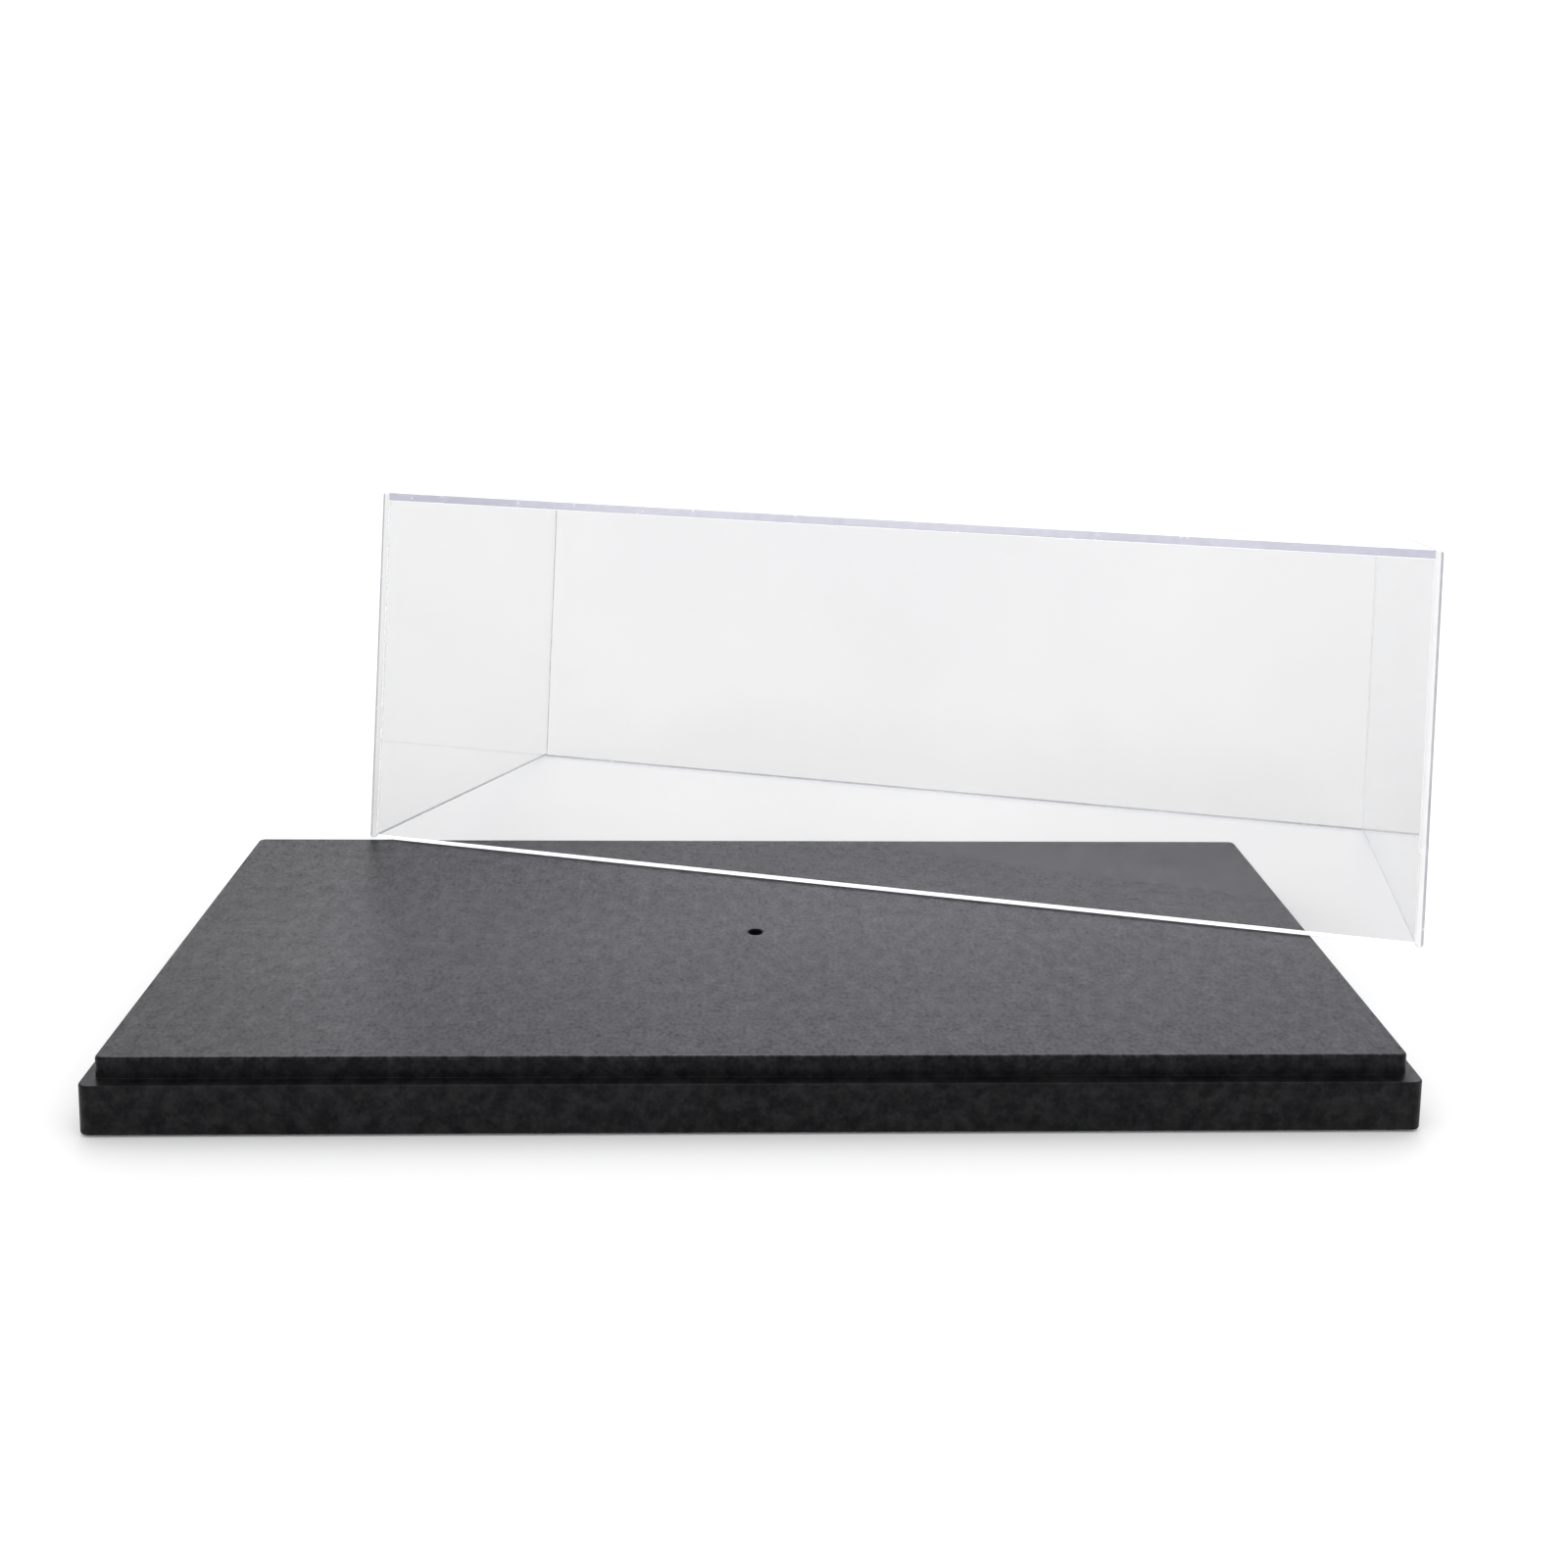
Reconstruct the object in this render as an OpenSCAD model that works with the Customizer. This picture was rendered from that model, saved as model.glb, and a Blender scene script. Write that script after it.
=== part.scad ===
// Display case: a black moulded base in two tiers, and a clear cover of five cemented panels.
// The cover is shown taken off, leaning: its front rim rests on the deck, its rear rim on the table.
// Millimetres, +Z up. The origin is the mouth of the fixing hole, at the centre of the deck.

/* [Base] */
// Width of the lower tier
base_w = 250; // [150:1:400]
// Depth of the lower tier
base_d = 120; // [90:1:240]
// Height of the ledge above the table
ledge_h = 10; // [8:0.5:16]
// Height of the deck above the ledge
deck_h = 4; // [3:0.5:8]
// Plan radius of the lower tier's corners
tier_corner_r = 2; // [0.5:0.1:2.4]
// Plan radius of the deck's corners
deck_corner_r = 1.6; // [0.5:0.1:2]
// Thickness of the deck's skin
deck_skin = 2.4; // [1.6:0.1:2.8]
// Thickness of the skirt's walls
skirt_wall = 2.2; // [1.6:0.1:3]

/* [Ribs under the deck] */
// Thickness of a rib
rib_t = 1.4; // [1:0.1:2]
// Widest spacing allowed between ribs
rib_pitch_max = 62; // [30:1:90]
// Gap between the ribs' lower edges and the skirt's lower edge
rib_recess = 1.5; // [0.5:0.1:3]

/* [Fixing hole] */
// Diameter of the hole, a clearance hole for an M3 screw
hole_d = 3.2; // [2.2:0.1:5.5]
// Length of the hole's wall
hole_len = 5; // [3.5:0.1:7]
// Diameter of the recess for the screw's head, below the hole
head_recess_d = 8; // [6.5:0.1:10]
// Wall around that recess
boss_wall = 2; // [1:0.1:3]

/* [Feet] */
// Diameter of a rubber foot
foot_d = 10; // [6:0.5:14]
// Thickness of a foot
foot_t = 1.7; // [1:0.1:3]
// How far a foot stands out below the skirt
foot_proud = 0.5; // [0.3:0.1:1]
// Distance from the base's sides to the middle of a foot
foot_inset = 13; // [11:0.5:20]
// Clearance around a foot in its pocket
foot_gap = 0.3; // [0.1:0.1:0.8]
// Wall around a foot's pocket
pocket_wall = 1.7; // [1:0.1:2.5]

/* [Cover] */
// Outer height of the cover
cover_h = 86.5; // [40:0.5:160]
// Thickness of the clear sheet
panel_t = 1.8; // [1.5:0.1:4]
// Clearance between the deck's edge and the inside of the cover
cover_gap = 0.4; // [0.2:0.1:1]
// How far the cover stands in from the base's left and right sides
rim_inset_side = 0; // [0:0.1:2]
// How far the cover stands in from the base's front and back
rim_inset_front = 0.8; // [0:0.1:2]

/* [Leaning place of the cover] */
// Turn of the cover about the vertical, with its right end towards the front
lean_turn = 15.4; // [8:0.1:20]
// Distance from the base's left side to the cover's front left corner
lean_from_left = 29.2; // [26:0.1:60]
// Gap between the deck's back edge and that corner
lean_behind = 0.4; // [0.2:0.1:1]
// Gap between the deck and the rim that rests on it
rest_gap = 0.05; // [0.02:0.01:0.1]

/* [Hidden] */
$fn = 96;

cut = 1; // how far a cutting solid runs past the face it opens

deck_z = ledge_h + deck_h; // height of the deck above the table
ledge_side = rim_inset_side + panel_t + cover_gap;
ledge_front = rim_inset_front + panel_t + cover_gap;
deck_w = base_w - 2 * ledge_side;
deck_d = base_d - 2 * ledge_front;

ceiling_z = deck_z - deck_skin;
ledge_under_z = ledge_h - skirt_wall;
cavity_w = deck_w - 2 * skirt_wall;
cavity_d = deck_d - 2 * skirt_wall;
rib_z = foot_proud + rib_recess;
bays_x = 2 * ceil(cavity_w / (2 * rib_pitch_max)); // an even number puts a rib under the hole
bays_y = 2 * ceil(cavity_d / (2 * rib_pitch_max));

boss_d = head_recess_d + 2 * boss_wall;
pocket_d = foot_d + 2 * foot_gap;
foot_boss_d = pocket_d + 2 * pocket_wall;
foot_x = base_w / 2 - foot_inset;
foot_y = base_d / 2 - foot_inset;

cover_w = base_w - 2 * rim_inset_side;
cover_d = base_d - 2 * rim_inset_front;
inner_w = cover_w - 2 * panel_t;
lean_tilt = asin((deck_z + rest_gap) / (cover_d - panel_t)); // puts the rear rim on the table
lean_x = lean_from_left - base_w / 2;
lean_y = deck_d / 2 + lean_behind;
lean_z = deck_z + rest_gap + panel_t * sin(lean_tilt);

BLACK = "#1b1b1d";
RUBBER = "#2b2b2d";
CLEAR = [0.86, 0.89, 0.94, 0.35];

// Heights in this file are measured from the table; this puts the deck at zero.
module from_table() {
    translate([0, 0, -deck_z]) children();
}

// A flat plate centred on the origin, with round plan corners.
module plate(w, d, r, z0, z1) {
    translate([0, 0, z0]) linear_extrude(z1 - z0) {
        square([w - 2 * r, d], center = true);
        square([w, d - 2 * r], center = true);
        for (x = [-1, 1], y = [-1, 1]) {
            translate([x * (w / 2 - r), y * (d / 2 - r)]) circle(r);
        }
    }
}

// A block centred in plan, between two heights.
module block(w, d, z0, z1) {
    translate([-w / 2, -d / 2, z0]) cube([w, d, z1 - z0]);
}

// A round bar standing on z0.
module bar(d, z0, z1) {
    translate([0, 0, z0]) cylinder(d = d, h = z1 - z0);
}

// The outside of the base, as if it were solid.
module two_tiers() {
    plate(base_w, base_d, tier_corner_r, foot_proud, ledge_h);
    plate(deck_w, deck_d, deck_corner_r, ledge_h - cut, deck_z);
}

// The base's skin, open underneath.
module skin() {
    difference() {
        two_tiers();
        block(base_w - 2 * skirt_wall, base_d - 2 * skirt_wall, foot_proud - cut, ledge_under_z);
        block(cavity_w, cavity_d, foot_proud - cut, ceiling_z);
    }
}

// The grid of ribs that keeps the deck flat, as long and as high as the base.
module ribs() {
    pitch_x = cavity_w / bays_x;
    pitch_y = cavity_d / bays_y;
    for (i = [1:bays_x - 1]) {
        translate([i * pitch_x - cavity_w / 2, 0, 0]) block(rib_t, base_d, rib_z, deck_z);
    }
    for (i = [1:bays_y - 1]) {
        translate([0, i * pitch_y - cavity_d / 2, 0]) block(base_w, rib_t, rib_z, deck_z);
    }
}

// Places its children at the four feet.
module at_feet() {
    for (x = [-1, 1], y = [-1, 1]) translate([x * foot_x, y * foot_y, 0]) children();
}

module base_shell() {
    color(BLACK) from_table() difference() {
        union() {
            skin();
            intersection() {
                two_tiers();
                ribs();
            }
            bar(boss_d, rib_z, deck_z);
            at_feet() bar(foot_boss_d, foot_proud, deck_z);
        }
        bar(hole_d, foot_proud, deck_z + cut);
        bar(head_recess_d, foot_proud, deck_z - hole_len);
        at_feet() bar(pocket_d, foot_proud - cut, foot_t);
    }
}

// One self-adhesive rubber foot. side and row are -1 or 1.
module foot(side, row) {
    color(RUBBER) from_table() translate([side * foot_x, row * foot_y, 0]) bar(foot_d, 0, foot_t);
}

// Puts the cover, drawn from its front left lower corner, in its leaning place.
module leaning() {
    from_table() translate([lean_x, lean_y, lean_z]) rotate([0, 0, -lean_turn]) rotate([-lean_tilt, 0, 0]) {
        children();
    }
}

// A sheet of the cover: its lower corner and its size.
module sheet(corner, size) {
    color(CLEAR) leaning() translate(corner) cube(size);
}

// The side panels take the full height and depth; the others are cemented between them.
module side_panel(x) {
    sheet([x, 0, 0], [panel_t, cover_d, cover_h]);
}

// The front and back panels stop under the top panel.
module long_panel(y) {
    sheet([panel_t, y, 0], [inner_w, panel_t, cover_h - panel_t]);
}

module top_panel() {
    sheet([panel_t, 0, cover_h - panel_t], [inner_w, cover_d, panel_t]);
}

base_shell();
foot(-1, -1);  // foot_front_left
foot(1, -1);  // foot_front_right
foot(-1, 1);  // foot_rear_left
foot(1, 1);  // foot_rear_right
long_panel(0);  // front_panel
long_panel(cover_d - panel_t);  // back_panel
side_panel(0);  // left_panel
side_panel(cover_w - panel_t);  // right_panel
top_panel();
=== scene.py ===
import math

import bmesh
import bpy
from mathutils import Matrix, Vector


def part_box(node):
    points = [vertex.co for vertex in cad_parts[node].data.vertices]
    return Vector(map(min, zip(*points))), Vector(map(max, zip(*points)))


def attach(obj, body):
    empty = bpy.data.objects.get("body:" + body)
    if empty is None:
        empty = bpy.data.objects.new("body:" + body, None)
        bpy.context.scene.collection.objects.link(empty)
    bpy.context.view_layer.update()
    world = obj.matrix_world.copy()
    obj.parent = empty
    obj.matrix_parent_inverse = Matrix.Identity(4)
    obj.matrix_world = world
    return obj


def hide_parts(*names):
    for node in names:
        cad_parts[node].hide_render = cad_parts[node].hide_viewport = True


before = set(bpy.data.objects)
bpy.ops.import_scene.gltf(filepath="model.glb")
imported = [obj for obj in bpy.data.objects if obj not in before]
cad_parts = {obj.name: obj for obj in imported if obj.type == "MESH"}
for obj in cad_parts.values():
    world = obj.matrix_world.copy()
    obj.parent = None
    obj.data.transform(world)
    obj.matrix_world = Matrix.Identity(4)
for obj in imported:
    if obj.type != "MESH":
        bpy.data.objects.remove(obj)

bpy.context.view_layer.update()

MM = 0.001

# ---------------------------------------------------------------------------
# Sizes, in millimetres. Heights are from the deck, which is the frame's zero.
# ---------------------------------------------------------------------------
shell_low, shell_high = [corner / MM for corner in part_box("base_shell")]
foot_low, foot_high = [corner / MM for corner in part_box("foot_front_right")]

# The base's outside
TIER_W = shell_high.x - shell_low.x
TIER_D = shell_high.y - shell_low.y
SKIRT_Z = shell_low.z
LEDGE_Z = -4.0
LEDGE_SIDE = 2.2
LEDGE_FRONT = 3.0
DECK_W = TIER_W - 2 * LEDGE_SIDE
DECK_D = TIER_D - 2 * LEDGE_FRONT
TIER_R = 2.0
DECK_R = 1.6
TIER_EDGE = 0.35  # round of the lower tier's upper edge
DECK_EDGE = 0.55  # round of the deck's edge
SKIRT_EDGE = 0.2  # round of the skirt's lower edge
CREASE = 0.12  # fillet where the deck's wall meets the ledge
SMALLEST_R = 0.15  # a plan corner never gets sharper than this

# The base's inside
SKIN = 2.4
WALL = 2.2
CAVITY_W = DECK_W - 2 * WALL
CAVITY_D = DECK_D - 2 * WALL
CAVITY_R = 0.5
SKIRT_W = TIER_W - 2 * WALL
SKIRT_D = TIER_D - 2 * WALL
SKIRT_R = 0.6
RIB_T = 1.4
RIB_ROUND = 0.25
RIB_LOW = SKIRT_Z + 1.5
DECK_RIB_LOW = RIB_LOW + 2  # the rows in the deck tier start inside those in the skirt
RIB_BAYS = (4, 2)
BITE = 0.6  # how far a rib or a boss runs into the wall it joins

# The fixing hole and its boss
HOLE_R = 1.6
HOLE_LEN = 5.0
HOLE_MOUTH = 0.28  # round of the hole's upper edge
HEAD_R = 4.0
BOSS_R = 6.0
BOSS_EDGE = 0.3
PAST = 1  # how far a cutting solid runs past the face it opens

# The feet and their pockets
POCKET_R = 5.3
FOOT_BOSS_R = 7.0
FOOT_BOSS_EDGE = 0.2
FOOT_R = (foot_high.x - foot_low.x) / 2
FOOT_X = (foot_high.x + foot_low.x) / 2
FOOT_Y = -(foot_high.y + foot_low.y) / 2
TABLE_Z = foot_low.z
FOOT_TOP = foot_high.z
FOOT_DISH = [(0, 0.12), (2.2, 0.1), (3.2, 0.03), (3.7, 0)]  # the sole, as (radius, height)
FOOT_EDGE = 0.5  # round of the sole's edge
FOOT_TAPER = 0.05  # how much narrower a foot is above that round than at its full width
FOOT_FULL = 1.0  # height above the table where a foot has its full width
FOOT_TOP_EDGE = 0.1

# The cover
JOINT_GAP = 0.015  # how far a cemented face stands back from its neighbour
SHEET_EDGE = 0.12  # easing of every edge of a sheet
LEAD_IN = 0.55  # easing along the inside of a wall's lower rim
OUTER_EDGE = 0.65  # easing of the side sheets' outer edges
PALE_DEPTH = 3.0  # how far behind the cover's front its walls' edges look sawn


# ---------------------------------------------------------------------------
# Mesh work
# ---------------------------------------------------------------------------
def new_object(name, mesh):
    """Links a mesh to the scene as an object at the origin."""
    piece = bpy.data.objects.new(name, mesh)
    bpy.context.scene.collection.objects.link(piece)
    return piece


def object_from(name, bm):
    """Makes an object of a bmesh, in millimetres until now, with its faces outwards."""
    bmesh.ops.recalc_face_normals(bm, faces=bm.faces)
    bmesh.ops.scale(bm, vec=(MM, MM, MM), verts=bm.verts)
    mesh = bpy.data.meshes.new(name)
    bm.to_mesh(mesh)
    bm.free()
    return new_object(name, mesh)


def angles(start, stop, steps):
    """Angles at equal steps, both ends included: degrees in, radians out."""
    return [math.radians(start + (stop - start) * i / steps) for i in range(steps + 1)]


def plan_loop(w, d, r, steps=8):
    """The points of a rectangle with round corners, anticlockwise."""
    points = []
    for turn, (sx, sy) in enumerate([(1, 1), (-1, 1), (-1, -1), (1, -1)]):
        centre = Vector((sx * (w / 2 - r), sy * (d / 2 - r)))
        for a in angles(90 * turn, 90 * (turn + 1), steps):
            points.append(centre + Vector((math.cos(a), math.sin(a))) * r)
    return points


def lofted(name, stations):
    """A closed solid through level loops, each (width, depth, corner radius, height)."""
    bm = bmesh.new()
    loops = []
    for w, d, r, z in stations:
        loops.append([bm.verts.new((p.x, p.y, z)) for p in plan_loop(w, d, r)])
    for lower, upper in zip(loops, loops[1:]):
        for i, v in enumerate(lower):
            j = (i + 1) % len(lower)
            bm.faces.new((v, lower[j], upper[j], upper[i]))
    bm.faces.new(loops[0])
    bm.faces.new(loops[-1])
    return object_from(name, bm)


def round_over(w, d, r, z, edge, start, stop, steps=5):
    """Loops round an outer edge of a tier. The angles are in degrees: 0 is the side, 90 the top."""
    made = []
    for a in angles(start, stop, steps):
        back = edge * (1 - math.cos(a))
        height = z + edge * math.sin(a)
        made.append((w - 2 * back, d - 2 * back, max(r - back, SMALLEST_R), height))
    return made


def turned(name, profile, steps=96):
    """A solid of revolution about the vertical axis through the origin. The profile runs
    from axis to axis, as (radius, height)."""
    bm = bmesh.new()
    rings = []
    for r, z in profile:
        count = steps if r > 0 else 1
        around = [2 * math.pi * i / steps for i in range(count)]
        rings.append([bm.verts.new((r * math.cos(a), r * math.sin(a), z)) for a in around])
    for lower, upper in zip(rings, rings[1:]):
        for i in range(steps):
            j = (i + 1) % steps
            corners = [lower[i % len(lower)], lower[j % len(lower)]]
            corners += [upper[j % len(upper)], upper[i % len(upper)]]
            bm.faces.new(list(dict.fromkeys(corners)))
    return object_from(name, bm)


def arc(centre_r, centre_z, radius, start, stop, steps):
    """Points of a profile's round, as (radius, height), between two angles in degrees."""
    return [(centre_r + radius * math.cos(a), centre_z + radius * math.sin(a))
            for a in angles(start, stop, steps)]


def plain_mesh(piece, name):
    """The evaluated mesh of an object with modifiers, as a new plain object. The old one goes."""
    graph = bpy.context.evaluated_depsgraph_get()
    mesh = bpy.data.meshes.new_from_object(piece.evaluated_get(graph), depsgraph=graph)
    mesh.name = name
    old = piece.data
    bpy.data.objects.remove(piece)
    if old.users == 0:
        bpy.data.meshes.remove(old)
    return new_object(name, mesh)


def combined(piece, name, *steps):
    """Joins or cuts solids, in order, each (operation, other solid). The others go."""
    for operation, other in steps:
        change = piece.modifiers.new(other.name, "BOOLEAN")
        change.operation = operation
        change.object = other
        change.solver = "EXACT"
    bpy.context.view_layer.update()
    result = plain_mesh(piece, name)
    for _, other in steps:
        bpy.data.objects.remove(other)
    return result


def clean_up(piece, merge=2e-6):
    """Merges doubled points and drops slivers, then lets every face point outwards."""
    bm = bmesh.new()
    bm.from_mesh(piece.data)
    bmesh.ops.remove_doubles(bm, verts=bm.verts, dist=merge)
    bmesh.ops.dissolve_degenerate(bm, dist=merge / 2, edges=bm.edges)
    bmesh.ops.recalc_face_normals(bm, faces=bm.faces)
    bm.to_mesh(piece.data)
    bm.free()


def soften(piece, angle=32):
    """Smooth shading that stays flat on the broad faces and crisp on the sharp edges."""
    piece.data.shade_smooth()
    piece.data.set_sharp_from_angle(angle=math.radians(angle))
    weigh = piece.modifiers.new("weigh", "WEIGHTED_NORMAL")
    weigh.keep_sharp = True
    weigh.weight = 100
    bpy.context.view_layer.update()
    return plain_mesh(piece, piece.name)


def all_of(piece, material):
    """Gives every face of a piece one material."""
    piece.data.materials.clear()
    piece.data.materials.append(material)
    for face in piece.data.polygons:
        face.material_index = 0


# ---------------------------------------------------------------------------
# Geometry Nodes
# ---------------------------------------------------------------------------
def add_node(tree, kind, values=None, **settings):
    """Adds a node with its settings, and sets or links its inputs. Returns its outputs."""
    made = tree.nodes.new(kind)
    for key, value in settings.items():
        setattr(made, key, value)
    for key, value in (values or {}).items():
        if isinstance(value, bpy.types.NodeSocket):
            tree.links.new(value, made.inputs[key])
        else:
            made.inputs[key].default_value = value
    return made.outputs


class Tree:
    """A Geometry Nodes tree with named inputs."""

    def __init__(self, name, inputs):
        self.group = bpy.data.node_groups.new(name, "GeometryNodeTree")
        sockets = self.group.interface
        for label, kind in inputs:
            sockets.new_socket(label, in_out="INPUT", socket_type=kind)
        sockets.new_socket("Geometry", in_out="OUTPUT", socket_type="NodeSocketGeometry")
        self.inputs = self.group.nodes.new("NodeGroupInput").outputs
        self.output = self.group.nodes.new("NodeGroupOutput").inputs

    def node(self, kind, values=None, **settings):
        return add_node(self.group, kind, values, **settings)

    def math(self, operation, a, b):
        return self.node("ShaderNodeMath", {0: a, 1: b}, operation=operation)[0]

    def vector(self, **parts):
        return self.node("ShaderNodeCombineXYZ", parts)[0]

    def finish(self, geometry):
        """Every tree ends in Realize Instances and Set Material."""
        real = self.node("GeometryNodeRealizeInstances", {"Geometry": geometry})[0]
        last = self.node("GeometryNodeSetMaterial", {
            "Geometry": real, "Material": self.inputs["Material"],
        })[0]
        self.group.links.new(last, self.output[0])
        return self.group


def rib_row_tree():
    """A row of parallel ribs: a rounded section swept along a line, set out at equal steps."""
    t = Tree("rib_row", [
        ("Ribs", "NodeSocketInt"), ("Pitch", "NodeSocketFloat"), ("Length", "NodeSocketFloat"),
        ("Thickness", "NodeSocketFloat"), ("Low", "NodeSocketFloat"), ("High", "NodeSocketFloat"),
        ("Round", "NodeSocketFloat"), ("Material", "NodeSocketMaterial"),
    ])
    i = t.inputs
    half = t.math("MULTIPLY", i["Length"], 0.5)
    line = t.node("GeometryNodeCurvePrimitiveLine", {
        "Start": t.vector(Y=t.math("MULTIPLY", half, -1.0)), "End": t.vector(Y=half),
    })[0]
    section = t.node("GeometryNodeCurvePrimitiveQuadrilateral", {
        "Width": i["Thickness"], "Height": t.math("SUBTRACT", i["High"], i["Low"]),
    })[0]
    rounded = t.node("GeometryNodeFilletCurve", {
        "Curve": section, "Count": 4, "Radius": i["Round"],
    }, mode="POLY")[0]
    rib = t.node("GeometryNodeCurveToMesh", {
        "Curve": line, "Profile Curve": rounded, "Fill Caps": True,
    })[0]
    span = t.math("MULTIPLY", t.math("SUBTRACT", i["Ribs"], 1.0), i["Pitch"])
    middle = t.math("MULTIPLY", t.math("ADD", i["Low"], i["High"]), 0.5)
    places = t.node("GeometryNodeMeshLine", {
        "Count": i["Ribs"], "Offset": t.vector(X=i["Pitch"]),
        "Start Location": t.vector(X=t.math("MULTIPLY", span, -0.5), Z=middle),
    })[0]
    row = t.node("GeometryNodeInstanceOnPoints", {"Points": places, "Instance": rib})[0]
    return t.finish(row)


def corners_tree():
    """One shape set out at the corners of a rectangle."""
    t = Tree("at_corners", [
        ("Shape", "NodeSocketObject"), ("Across", "NodeSocketFloat"), ("Deep", "NodeSocketFloat"),
        ("Material", "NodeSocketMaterial"),
    ])
    i = t.inputs
    grid = t.node("GeometryNodeMeshGrid", {
        "Size X": i["Across"], "Size Y": i["Deep"], "Vertices X": 2, "Vertices Y": 2,
    })[0]
    shape = t.node("GeometryNodeObjectInfo", {"Object": i["Shape"]})["Geometry"]
    copies = t.node("GeometryNodeInstanceOnPoints", {"Points": grid, "Instance": shape})[0]
    return t.finish(copies)


RIB_ROW = rib_row_tree()
CORNERS = corners_tree()


def grown(name, group, values):
    """Runs a tree with these named inputs, set by their identifiers, and keeps the plain mesh."""
    carrier = new_object(name + "_carrier", bpy.data.meshes.new(name))
    grow = carrier.modifiers.new("grow", "NODES")
    grow.node_group = group
    ids = {s.name: s.identifier for s in group.interface.items_tree if s.in_out == "INPUT"}
    for label, value in values.items():
        grow[ids[label]] = value
    bpy.context.view_layer.update()
    return plain_mesh(carrier, name)


def at_corners(name, shape, material):
    """Sets a turned shape out at the four corners where the feet are. The shape goes."""
    made = grown(name, CORNERS, {
        "Shape": shape, "Across": 2 * FOOT_X * MM, "Deep": 2 * FOOT_Y * MM, "Material": material,
    })
    bpy.data.objects.remove(shape)
    return made


# ---------------------------------------------------------------------------
# Materials
# ---------------------------------------------------------------------------
def grey(level, blue=1.0):
    return (level, level, level * blue, 1.0)


class Finish:
    """A node material. Patterns are on Object coordinates, so their scales are per metre."""

    def __init__(self, name):
        self.material = bpy.data.materials.new(name)
        self.material.use_nodes = True
        self.tree = self.material.node_tree
        self.tree.nodes.clear()
        self.output = self.tree.nodes.new("ShaderNodeOutputMaterial")
        self.place = self.node("ShaderNodeTexCoord")["Object"]

    def node(self, kind, values=None, **settings):
        return add_node(self.tree, kind, values, **settings)

    def noise(self, scale, detail=2.0, rough=0.5, place=None, distortion=0.0):
        return self.node("ShaderNodeTexNoise", {
            "Vector": place or self.place, "Scale": scale, "Detail": detail,
            "Roughness": rough, "Distortion": distortion,
        })["Fac"]

    def mapped(self, scale, turn=(0, 0, 0)):
        return self.node("ShaderNodeMapping", {
            "Vector": self.place, "Scale": scale, "Rotation": turn,
        })["Vector"]

    def range(self, value, low, high, to_low, to_high):
        return self.node("ShaderNodeMapRange", {
            "Value": value, "From Min": low, "From Max": high, "To Min": to_low, "To Max": to_high,
        })["Result"]

    def spread(self, pattern, to_low, to_high):
        """Takes the middle of a noise, where most of it lies, to the two values."""
        return self.range(pattern, 0.3, 0.7, to_low, to_high)

    def swing(self, pattern, size):
        return self.spread(pattern, -size, size)

    def math(self, operation, a, b=0.0):
        return self.node("ShaderNodeMath", {0: a, 1: b}, operation=operation)[0]

    def plus(self, a, b):
        return self.math("ADD", a, b)

    def times(self, a, b):
        return self.math("MULTIPLY", a, b)

    def blend(self, a, share, b):
        """Two patterns added up: this share of the first, and the rest of the second."""
        return self.plus(self.times(a, share), self.times(b, 1 - share))

    def mix(self, share, a, b):
        """Two colours mixed by share."""
        return self.node("ShaderNodeMix", {0: share, 6: a, 7: b}, data_type="RGBA")[2]

    def bump(self, height, strength, distance, below=None):
        values = {"Height": height, "Strength": strength, "Distance": distance}
        if below is not None:
            values["Normal"] = below
        return self.node("ShaderNodeBump", values)["Normal"]

    def plastic(self, values):
        """The Principled shader."""
        return self.node("ShaderNodeBsdfPrincipled", values)["BSDF"]

    def shown(self, shader):
        self.tree.links.new(shader, self.output.inputs["Surface"])
        return self.material

    def scratches(self, scale, turn, thin, stretch=60):
        """Fine hairlines in one direction: noise stretched long, with only its crest kept."""
        stretched = self.mapped((scale, scale / stretch, scale / stretch), turn)
        lines = self.noise(1.0, detail=1.0, place=stretched)
        crest = self.math("ABSOLUTE", self.math("SUBTRACT", lines, 0.5))
        return self.range(crest, 0.0, thin, 1.0, 0.0)


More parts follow.
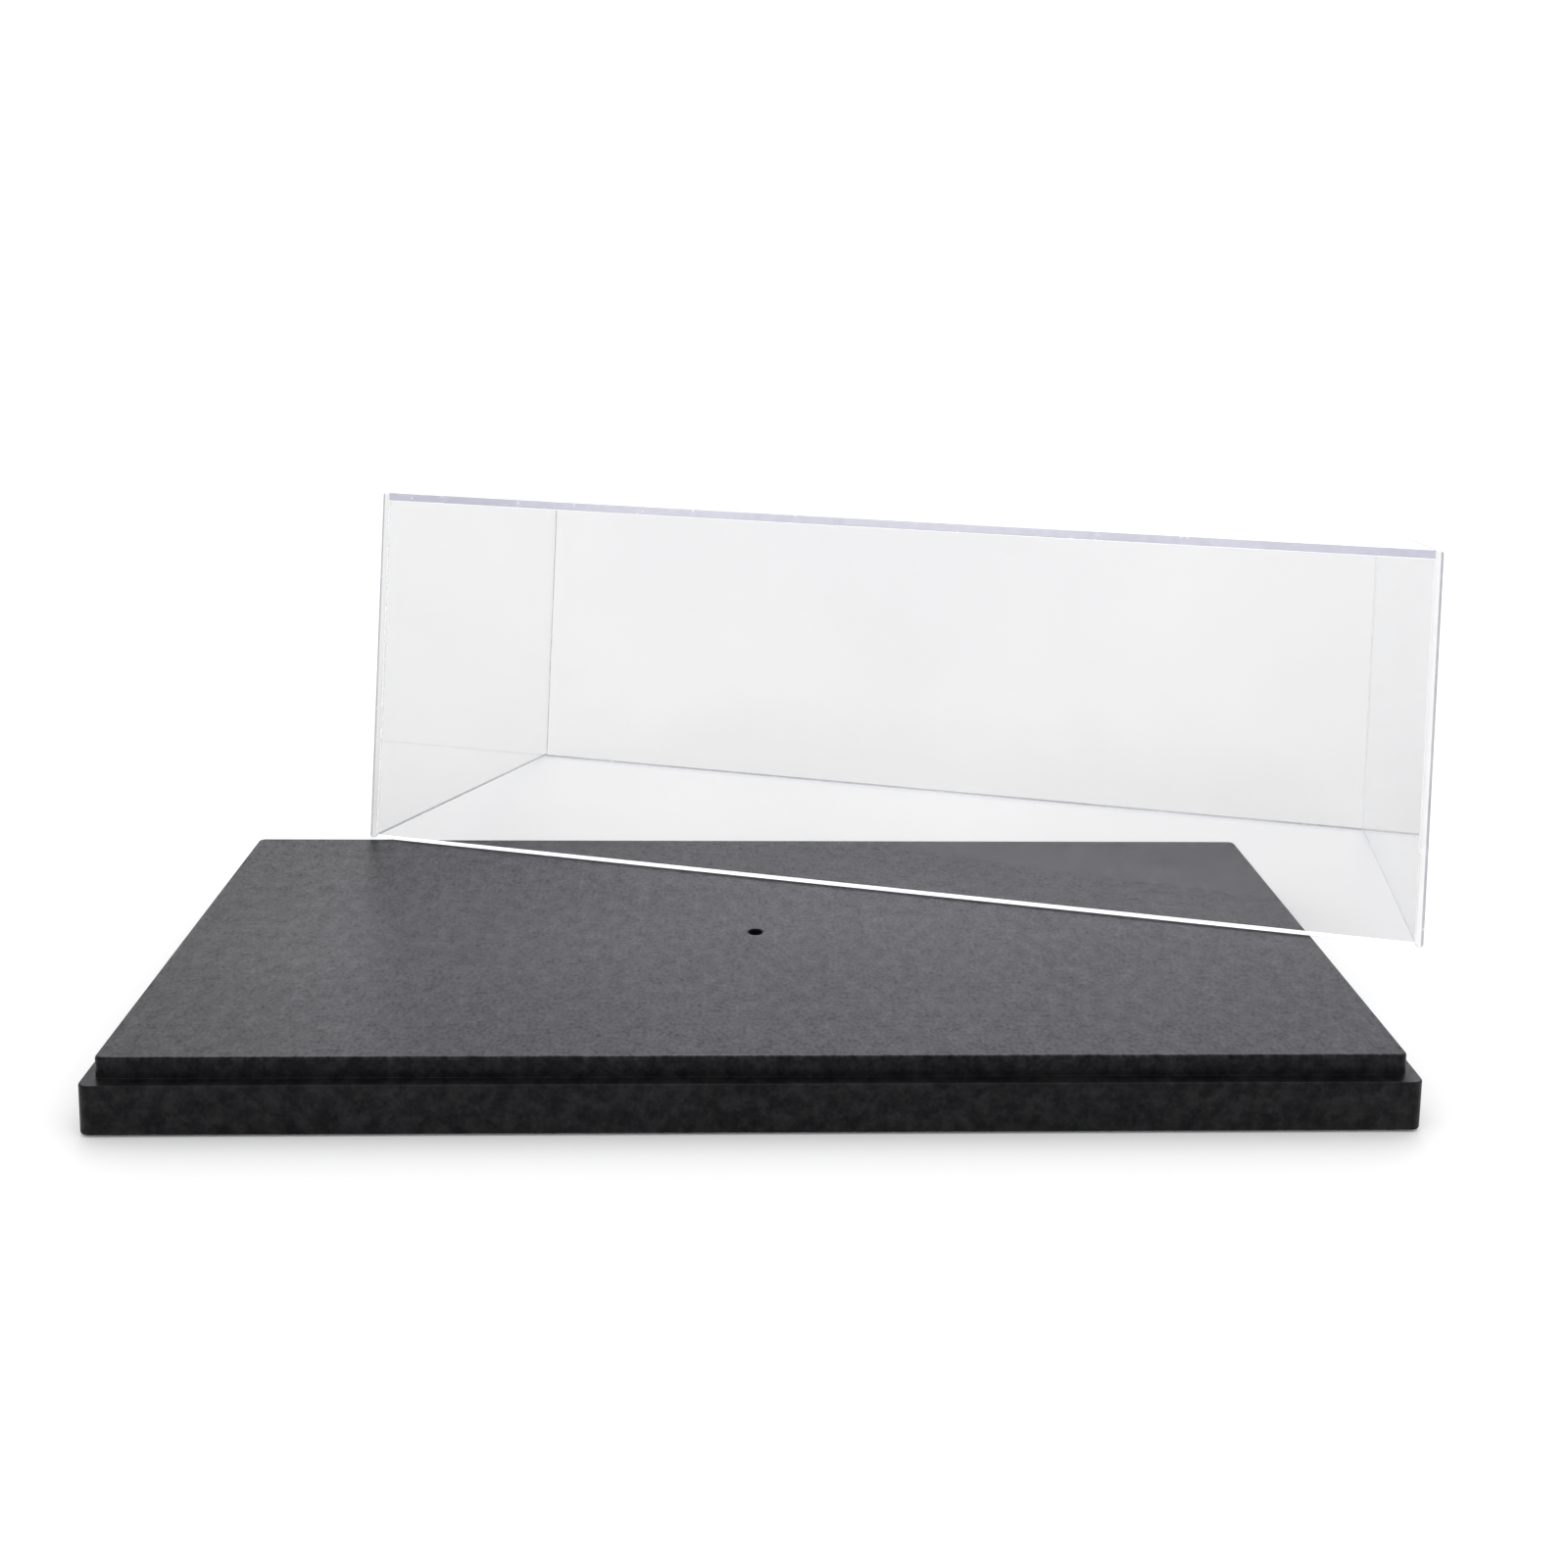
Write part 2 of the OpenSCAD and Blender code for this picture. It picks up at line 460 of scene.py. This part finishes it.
def moulded_black():
    """Black moulded plastic with a fine spark-eroded grain and a soft sheen."""
    f = Finish("black_moulding")
    lay = f.mapped((1.0, 0.7, 1.0))  # draws the grain out a little, front to back
    cloud = f.noise(20.0, detail=3.0, rough=0.55)
    mottle = f.noise(330.0, detail=3.0, rough=0.6, place=lay)
    grain = f.noise(1250.0, detail=2.0, rough=0.65, place=lay)
    fleck = f.noise(3800.0, detail=1.0)
    clouded = f.range(cloud, 0.35, 0.65, 0.0, 1.0)
    hair = f.scratches(900.0, turn=(0, 0, 0.5), thin=0.006)
    hair = f.times(hair, f.range(cloud, 0.5, 0.62, 0.0, 1.0))

    # Wear, from a millimetre inside the deck's edge outwards
    x, y, z = f.node("ShaderNodeSeparateXYZ", {0: f.place})
    rim_x = f.math("SUBTRACT", f.math("ABSOLUTE", x), DECK_W / 2 * MM)
    rim_y = f.math("SUBTRACT", f.math("ABSOLUTE", y), DECK_D / 2 * MM)
    near_rim = f.range(f.math("MAXIMUM", rim_x, rim_y), -1.2 * MM, -0.1 * MM, 0.0, 1.0)
    worn = f.times(near_rim, f.range(mottle, 0.42, 0.62, 0.0, 1.0))

    tone = f.spread(f.blend(mottle, 0.6, cloud), 0.0, 1.0)
    colour = f.mix(tone, (0.0034, 0.0034, 0.0040, 1), (0.0060, 0.0060, 0.0068, 1))
    colour = f.mix(f.times(worn, 0.35), colour, (0.02, 0.02, 0.021, 1))

    sheen = f.plus(f.range(cloud, 0.35, 0.65, 0.58, 0.66), f.swing(mottle, 0.06))
    sheen = f.plus(sheen, f.swing(grain, 0.12))
    hue = f.mix(clouded, (1.0, 0.985, 1.04, 1), (0.955, 0.985, 1.03, 1))
    tint = f.mix(sheen, grey(0.0), hue)

    rough = f.plus(f.spread(cloud, 0.38, 0.43), f.swing(grain, 0.06))
    rough = f.math("SUBTRACT", rough, f.times(worn, 0.06))
    rough = f.plus(rough, f.times(hair, -0.05))

    normal = f.bump(grain, 0.30, 0.04 * MM)
    normal = f.bump(fleck, 0.40, 0.02 * MM, normal)
    normal = f.bump(hair, 0.10, 0.01 * MM, normal)

    # The sheen of a surface seen at a low angle follows the IOR alone, so the grain is in it
    # too. It is less on the walls than on the deck. The gloss falls towards the back as painted
    # shade, which stands in for the darker back that the studio light gives the deck.
    gloss_with_painted_rear_shade = f.range(y, 0.0, DECK_D / 2 * MM, 1.25, 1.195)
    on_deck = f.range(z, -0.8 * MM, -0.3 * MM, 0.4, 1.0)
    texture = f.plus(f.swing(grain, 0.09), f.swing(mottle, 0.035))
    gloss = f.math("MAXIMUM", f.plus(gloss_with_painted_rear_shade, f.times(texture, on_deck)), 1.08)
    return f.shown(f.plastic({
        "Base Color": colour, "Roughness": rough, "Normal": normal,
        "IOR": gloss, "Specular Tint": tint,
    }))


def foot_rubber():
    """Dull black rubber with a fine sandy skin, a little dusty on the sole."""
    f = Finish("foot_rubber")
    cloud = f.noise(300.0, detail=3.0, rough=0.6)
    grain = f.noise(2600.0, detail=2.0, rough=0.6)
    height = f.node("ShaderNodeSeparateXYZ", {0: f.place})["Z"]
    sole = f.range(height, (TABLE_Z + 0.35) * MM, TABLE_Z * MM, 0.0, 1.0)
    dusty = f.times(sole, f.range(cloud, 0.35, 0.7, 0.2, 0.8))
    colour = f.mix(cloud, (0.016, 0.016, 0.017, 1), (0.028, 0.028, 0.029, 1))
    colour = f.mix(f.times(dusty, 0.5), colour, (0.09, 0.088, 0.084, 1))
    return f.shown(f.plastic({
        "Base Color": colour, "Roughness": f.spread(grain, 0.68, 0.86),
        "Normal": f.bump(grain, 0.5, 0.06 * MM), "IOR": 1.45,
    }))


ACRYLIC_IOR = 1.49


def let_lamps_through(f, solid, tint):
    """Clear sheet throws almost no shadow, so light for what is behind it passes straight on."""
    path = f.node("ShaderNodeLightPath")
    share = f.math("MAXIMUM", path["Is Shadow Ray"], path["Is Diffuse Ray"])
    open_way = f.node("ShaderNodeBsdfTransparent", {"Color": tint})["BSDF"]
    return f.node("ShaderNodeMixShader", {0: share, 1: solid, 2: open_way})[0]


def clear_acrylic(name, pale, deep):
    """Polished clear sheet, with the faint waviness of the sheet, hairlines and a few smears.
    pale and deep are the ends of its tint: faint for the sheet itself, deeper on the front
    sheet, where it is painted shade."""
    f = Finish(name)
    wave = f.noise(14.0, detail=1.0, rough=0.4)
    cast = f.noise(7.0)
    smear = f.noise(22.0, detail=4.0, rough=0.6, distortion=0.6)
    lines = f.scratches(700.0, turn=(0.1, 0.3, 0.9), thin=0.004)
    lines = f.times(lines, f.range(smear, 0.5, 0.6, 0.0, 1.0))
    rough = f.plus(f.range(smear, 0.5, 0.72, 0.0, 0.012), f.times(lines, 0.04))
    tone = f.range(f.blend(cast, 0.75, smear), 0.35, 0.65, 0.0, 1.0)
    solid = f.plastic({
        "Base Color": f.mix(tone, grey(pale), grey(deep, 1.004)), "Roughness": rough,
        "Normal": f.bump(wave, 0.06, 0.4 * MM), "IOR": ACRYLIC_IOR,
        "Transmission Weight": 1.0, "Specular Tint": grey(0.12),
    })
    return f.shown(let_lamps_through(f, solid, grey(0.965)))


def sheet_edge(name, dull, bright, transmission, band_scale=9.0, painted_glow=0.0):
    """A sawn and polished edge of the sheet, with soft bands along it. Light gathers in an
    edge, so it looks paler than the sheet: the pale colours stand in for that light as painted
    light, and the emission strength paints a faint shine on it, though the edge is no lamp."""
    f = Finish(name)
    saw = f.noise(1800.0)
    band = f.noise(band_scale)
    fine = f.noise(420.0)
    colour = f.mix(f.range(f.blend(band, 0.8, fine), 0.38, 0.62, 0.0, 1.0), dull, bright)
    solid = f.plastic({
        "Base Color": colour, "Roughness": f.spread(fine, 0.12, 0.28),
        "Normal": f.bump(saw, 0.15, 0.03 * MM), "IOR": ACRYLIC_IOR,
        "Transmission Weight": transmission,
        "Emission Color": colour, "Emission Strength": painted_glow,
    })
    return f.shown(let_lamps_through(f, solid, (0.80, 0.81, 0.86, 1)))


def cement_line():
    """A solvent-cemented joint: clear, with a slight haze and tiny bubbles."""
    f = Finish("cemented_joint")
    bubble = f.node("ShaderNodeTexVoronoi", {"Vector": f.place, "Scale": 900.0})["Distance"]
    haze = f.noise(120.0, detail=3.0, rough=0.6)
    rough = f.plus(f.spread(haze, 0.05, 0.3), f.range(bubble, 0.0, 0.25, 0.3, 0.0))
    solid = f.plastic({
        "Base Color": f.mix(haze, (0.94, 0.945, 0.955, 1), (0.98, 0.98, 0.985, 1)),
        "Roughness": rough, "Normal": f.bump(bubble, 0.2, 0.05 * MM), "IOR": 1.1,
        "Transmission Weight": 0.95, "Alpha": 0.35,
    })
    return f.shown(let_lamps_through(f, solid, (0.93, 0.93, 0.94, 1)))


def floor_paper():
    """Plain white paper under the case."""
    f = Finish("studio_floor")
    tooth = f.noise(900.0)
    return f.shown(f.plastic({
        "Base Color": f.mix(f.noise(6.0), grey(0.955), grey(0.965)), "Roughness": 0.6,
        "Normal": f.bump(tooth, 0.05, 0.1 * MM), "IOR": 1.3,
    }))


BLACK = moulded_black()
RUBBER = foot_rubber()
CLEAR = clear_acrylic("clear_acrylic", 0.955, 0.92)
# The front sheet's deeper tint is painted shade: over the sheet's own faint tint, it stands in for
# the grey that the studio light gives the inside of the cover.
SHADED_FRONT_CLEAR = clear_acrylic("clear_acrylic_front", 0.79, 0.74)
TOP_EDGE = sheet_edge("top_edge", (0.50, 0.50, 0.60, 1), (0.69, 0.69, 0.77, 1), 0.2)
# Painted light: the side edges' near-white colour and faint emission stand in for light carried
# along the sheet to its edges.
SIDE_EDGE = sheet_edge("side_edge", (0.95, 0.95, 0.965, 1), grey(0.99), 0.25, painted_glow=0.12)
# Painted light: the lower rim's white and stronger emission stand in for the bright line of light
# gathered in the rim where it stands on the deck.
RIM = sheet_edge("lower_rim", grey(0.95), grey(0.98), 0.0, 30.0, painted_glow=0.55)
# Painted shade: the rims that stand on the table are a darker grey copy of the lower rim, standing
# in for the shaded line where they meet the table.
SHADED_RIM = sheet_edge("rear_rim", (0.50, 0.50, 0.51, 1), (0.68, 0.68, 0.69, 1), 0.3, 30.0)
OUTER = sheet_edge("outer_edge", (0.42, 0.42, 0.47, 1), (0.60, 0.60, 0.64, 1), 0.2, 25.0)
JOINT = cement_line()


# ---------------------------------------------------------------------------
# The base
# ---------------------------------------------------------------------------
def base_skin():
    """The two-tier skin of the moulding, open underneath, as one closed shell."""
    ceiling = -SKIN
    step = LEDGE_Z - WALL
    stations = [
        (CAVITY_W, CAVITY_D, CAVITY_R, ceiling),
        (CAVITY_W, CAVITY_D, CAVITY_R, step),
        (SKIRT_W, SKIRT_D, SKIRT_R, step),
        (SKIRT_W, SKIRT_D, SKIRT_R, SKIRT_Z),
    ]
    stations += round_over(TIER_W, TIER_D, TIER_R, SKIRT_Z + SKIRT_EDGE, SKIRT_EDGE, -90, 0, 3)
    stations += round_over(TIER_W, TIER_D, TIER_R, LEDGE_Z - TIER_EDGE, TIER_EDGE, 0, 90)
    for a in angles(0, 90, 3):
        out = CREASE * (1 - math.sin(a))
        up = CREASE * (1 - math.cos(a))
        stations.append((DECK_W + 2 * out, DECK_D + 2 * out, DECK_R + out, LEDGE_Z + up))
    stations += round_over(DECK_W, DECK_D, DECK_R, -DECK_EDGE, DECK_EDGE, 0, 90, 6)
    return lofted("base_skin", stations)


def rib_rows():
    """The grid of ribs under the deck: each way, a row in the deck tier and one in the skirt."""
    rows = []
    across, deep = RIB_BAYS
    for turned_by, bays, pitch, in_deck, in_skirt in (
        (0, across, CAVITY_W / across, CAVITY_D, SKIRT_D),
        (90, deep, CAVITY_D / deep, CAVITY_W, SKIRT_W),
    ):
        for label, length, low, high in (
            ("deck", in_deck, DECK_RIB_LOW, -SKIN + BITE),
            ("skirt", in_skirt, RIB_LOW, LEDGE_Z - WALL + BITE),
        ):
            row = grown(f"ribs_{label}_{turned_by}", RIB_ROW, {
                "Ribs": bays - 1, "Pitch": pitch * MM, "Length": (length + 2 * BITE) * MM,
                "Thickness": RIB_T * MM, "Low": low * MM, "High": high * MM,
                "Round": RIB_ROUND * MM, "Material": BLACK,
            })
            row.data.transform(Matrix.Rotation(math.radians(turned_by), 4, "Z"))
            rows.append(row)
    return rows


def boss(name, radius, low, edge):
    """A round boss from its eased lower edge up into the deck's skin."""
    top = -SKIN + BITE
    return turned(name, [(0, low)] + arc(radius - edge, low + edge, edge, -90, 0, 3)
                  + [(radius, top), (0, top)])


def hole_drill():
    """The solid that cuts the hole with its eased mouth, and the screw head's recess below."""
    low = SKIRT_Z - PAST
    mouth_r = HOLE_R + HOLE_MOUTH
    profile = [(0, low), (HEAD_R, low), (HEAD_R, -HOLE_LEN), (HOLE_R, -HOLE_LEN)]
    profile += arc(mouth_r, -HOLE_MOUTH, HOLE_MOUTH, 180, 90, 6)
    return turned("hole_drill", profile + [(mouth_r, PAST), (0, PAST)])


def build_base():
    skin = base_skin()
    hole_boss = boss("hole_boss", BOSS_R, RIB_LOW, BOSS_EDGE)
    foot_boss = boss("foot_boss", FOOT_BOSS_R, SKIRT_Z, FOOT_BOSS_EDGE)
    pads = at_corners("foot_bosses", foot_boss, BLACK)
    drill = hole_drill()
    low = SKIRT_Z - PAST
    pocket = [(0, low), (POCKET_R, low), (POCKET_R, FOOT_TOP), (0, FOOT_TOP)]
    pockets = at_corners("foot_pockets", turned("foot_pocket", pocket), BLACK)
    joins = [("UNION", solid) for solid in rib_rows() + [hole_boss, pads]]
    cuts = [("DIFFERENCE", solid) for solid in (drill, pockets)]
    base = combined(skin, "base_moulding", *joins, *cuts)
    clean_up(base)
    base = soften(base)
    all_of(base, BLACK)
    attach(base, "base")
    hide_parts("base_shell")


def build_feet():
    """Four stick-on feet: round pads with a rounded rim and a shallow dished sole."""
    profile = [(r, TABLE_Z + up) for r, up in FOOT_DISH]
    edge_r = FOOT_R - (FOOT_EDGE + FOOT_TAPER)
    profile += arc(edge_r, TABLE_Z + FOOT_EDGE, FOOT_EDGE, -90, 0, 6)
    profile.append((FOOT_R, TABLE_Z + FOOT_FULL))
    profile += arc(FOOT_R - FOOT_TOP_EDGE, FOOT_TOP - FOOT_TOP_EDGE, FOOT_TOP_EDGE, 0, 90, 2)
    profile.append((0, FOOT_TOP))
    feet = at_corners("rubber_feet", turned("foot_shape", profile), RUBBER)
    feet = soften(feet, 40)
    all_of(feet, RUBBER)
    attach(feet, "base")
    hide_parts("foot_front_left", "foot_front_right", "foot_rear_left", "foot_rear_right")


# ---------------------------------------------------------------------------
# The cover
# ---------------------------------------------------------------------------
def cover_axes():
    """The cover's own directions, from the faces of its top sheet: along, front to back, up."""
    normals = {}
    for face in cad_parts["top_panel"].data.polygons:
        key = tuple(round(c, 3) for c in face.normal)
        normals[key] = normals.get(key, Vector()) + face.normal * face.area
    smallest_first = sorted(normals.values(), key=lambda n: n.length)
    up = max(smallest_first, key=lambda n: n.z).normalized()
    along = max((n.normalized() for n in smallest_first[:2]), key=lambda n: n.x)
    return {"x": along, "y": up.cross(along).normalized(), "z": up}


AXES = cover_axes()
SHEET_SLOT, EDGE_SLOT, RIM_SLOT, JOINT_SLOT, OUTER_SLOT = range(5)


def ease(bm, edges, width, segments, slot):
    """Bevels these edges of a sheet. The new faces get the material slot."""
    bmesh.ops.bevel(bm, geom=edges, offset=width * MM, offset_type="OFFSET", segments=segments,
                    profile=0.5, affect="EDGES", material=slot)


def finish_wall(bm, way_in):
    """Sorts out a wall's narrow faces. Along the lower rim they are outside or rim, and well
    behind the cover's front the others look like the sheet itself."""
    floor = min(v.co.dot(AXES["z"]) for v in bm.verts)
    front = min(v.co.dot(AXES["y"]) for v in bm.verts)
    for face in bm.faces:
        centre = face.calc_center_median()
        low = centre.dot(AXES["z"]) - floor < (LEAD_IN + SHEET_EDGE) * MM
        behind = centre.dot(AXES["y"]) - front > PALE_DEPTH * MM
        if low and face.material_index != SHEET_SLOT:
            outwards = face.normal.dot(way_in) < -0.2
            face.material_index = OUTER_SLOT if outwards else RIM_SLOT
        elif behind and face.material_index in (EDGE_SLOT, OUTER_SLOT):
            face.material_index = SHEET_SLOT


def build_sheet(node, name, edge, cemented=(), inside=None, clear=CLEAR, rim_finish=RIM):
    """A sheet of the cover, from a merged copy of its CAD node, with fine eased edges.
    cemented lists the faces joined to a neighbour, and inside is the way into the cover from
    a wall, as directions of the cover's own axes. A wall has a lead-in along the inside of its
    lower rim, and a side wall has wider eased outer edges. edge, clear and rim_finish are the
    materials of the sawn edges, the broad faces and the lower rim."""
    bm = bmesh.new()
    bm.from_mesh(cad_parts[node].data)
    bmesh.ops.remove_doubles(bm, verts=bm.verts, dist=1e-6)
    bmesh.ops.dissolve_limit(bm, angle_limit=0.01, verts=bm.verts, edges=bm.edges)
    bm.faces.ensure_lookup_table()

    def facing(axis, side):
        return max(bm.faces, key=lambda face: face.normal.dot(AXES[axis]) * side)

    broad = sorted(bm.faces, key=lambda face: face.calc_area())[-2:]
    for face in bm.faces:
        face.material_index = SHEET_SLOT if face in broad else EDGE_SLOT
    facing("y", 1).material_index = SHEET_SLOT
    for direction in cemented:
        face = facing(*direction)
        face.material_index = JOINT_SLOT
        bmesh.ops.translate(bm, verts=face.verts, vec=face.normal * (-JOINT_GAP * MM))
    if inside:
        rim = facing("z", -1)
        rim.material_index = RIM_SLOT
        inner_edges = facing(*inside).edges[:]
        ease(bm, [e for e in rim.edges if e in inner_edges], LEAD_IN, 1, RIM_SLOT)
    if inside and inside[0] == "x":
        ease(bm, facing("x", -inside[1]).edges[:], OUTER_EDGE, 4, OUTER_SLOT)
    sharp = [e for e in bm.edges if e.calc_face_angle(0.0) > math.radians(40)]
    ease(bm, sharp, SHEET_EDGE, 2, EDGE_SLOT)
    bmesh.ops.recalc_face_normals(bm, faces=bm.faces)
    if inside:
        finish_wall(bm, AXES[inside[0]] * inside[1])
    mesh = bpy.data.meshes.new(name)
    bm.to_mesh(mesh)
    bm.free()
    for material in (clear, edge, rim_finish, JOINT, OUTER):
        mesh.materials.append(material)
    piece = soften(new_object(name, mesh), 60)
    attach(piece, "cover")
    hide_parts(node)


def build_cover():
    ends = [("x", 1), ("x", -1)]
    under_top = ends + [("z", 1)]
    build_sheet("front_panel", "cover_front_sheet", SIDE_EDGE, under_top, ("y", 1),
                clear=SHADED_FRONT_CLEAR)
    build_sheet("back_panel", "cover_back_sheet", SIDE_EDGE, under_top, ("y", -1),
                rim_finish=SHADED_RIM)
    build_sheet("top_panel", "cover_top_sheet", TOP_EDGE, ends)
    build_sheet("left_panel", "cover_left_sheet", SIDE_EDGE, inside=("x", 1),
                rim_finish=SHADED_RIM)
    build_sheet("right_panel", "cover_right_sheet", SIDE_EDGE, inside=("x", -1),
                rim_finish=SHADED_RIM)


# ---------------------------------------------------------------------------
# The studio
# ---------------------------------------------------------------------------
FLOOR_REACH = 12.0  # metres each way
SKY_STRENGTH = 1.16
LAMP_STRENGTH = 2.55
LAMP_SPREAD = 56  # degrees across
LAMP_COLOUR = (0.93, 0.925, 1.0)
LAMP_FROM = Vector((0.11, 1.0, 0.95))

CAMERA_AT = Vector((-7.7, -356.8, 152.9))  # millimetres
CAMERA_TURN = -0.0386  # radians: minus is to the right
CAMERA_DIP = -0.1406  # minus is downwards
CAMERA_ROLL = -0.0161


def build_studio():
    bm = bmesh.new()
    bmesh.ops.create_grid(bm, x_segments=1, y_segments=1, size=FLOOR_REACH)
    bmesh.ops.translate(bm, verts=bm.verts, vec=(0, 0, TABLE_Z * MM))
    mesh = bpy.data.meshes.new("studio_floor")
    bm.to_mesh(mesh)
    bm.free()
    mesh.materials.append(floor_paper())
    new_object("studio_floor", mesh)

    world = bpy.data.worlds.new("studio")
    world.use_nodes = True
    sky = world.node_tree.nodes["Background"]
    sky.inputs["Color"].default_value = grey(1.0)
    sky.inputs["Strength"].default_value = SKY_STRENGTH
    bpy.context.scene.world = world

    # A wide soft light behind the case, for gloss only: it gives the deck its sheen
    lamp = bpy.data.lights.new("rear_soft_light", "SUN")
    lamp.energy = LAMP_STRENGTH
    lamp.angle = math.radians(LAMP_SPREAD)
    lamp.color = LAMP_COLOUR
    holder = bpy.data.objects.new("rear_soft_light", lamp)
    bpy.context.scene.collection.objects.link(holder)
    holder.rotation_euler = (-LAMP_FROM).to_track_quat("-Z", "Y").to_euler()
    holder.visible_diffuse = False


def build_camera():
    lens = bpy.data.cameras.new("camera")
    lens.sensor_width = 36.0
    lens.lens = 39.20
    lens.shift_x = -0.0042
    lens.shift_y = -0.2
    lens.clip_start, lens.clip_end = 0.01, 60.0
    camera = bpy.data.objects.new("camera", lens)
    bpy.context.scene.collection.objects.link(camera)
    aim = Matrix.Rotation(CAMERA_TURN, 3, "Z") @ Matrix.Rotation(CAMERA_DIP, 3, "X")
    aim = aim @ Matrix.Rotation(CAMERA_ROLL, 3, "Y") @ Matrix.Rotation(math.pi / 2, 3, "X")
    camera.matrix_world = Matrix.Translation(CAMERA_AT * MM) @ aim.to_4x4()
    bpy.context.scene.camera = camera


build_base()
build_feet()
build_cover()
build_studio()
build_camera()

bpy.context.scene.view_settings.view_transform = "Standard"
bpy.context.scene.view_settings.look = "None"

bpy.context.view_layer.update()
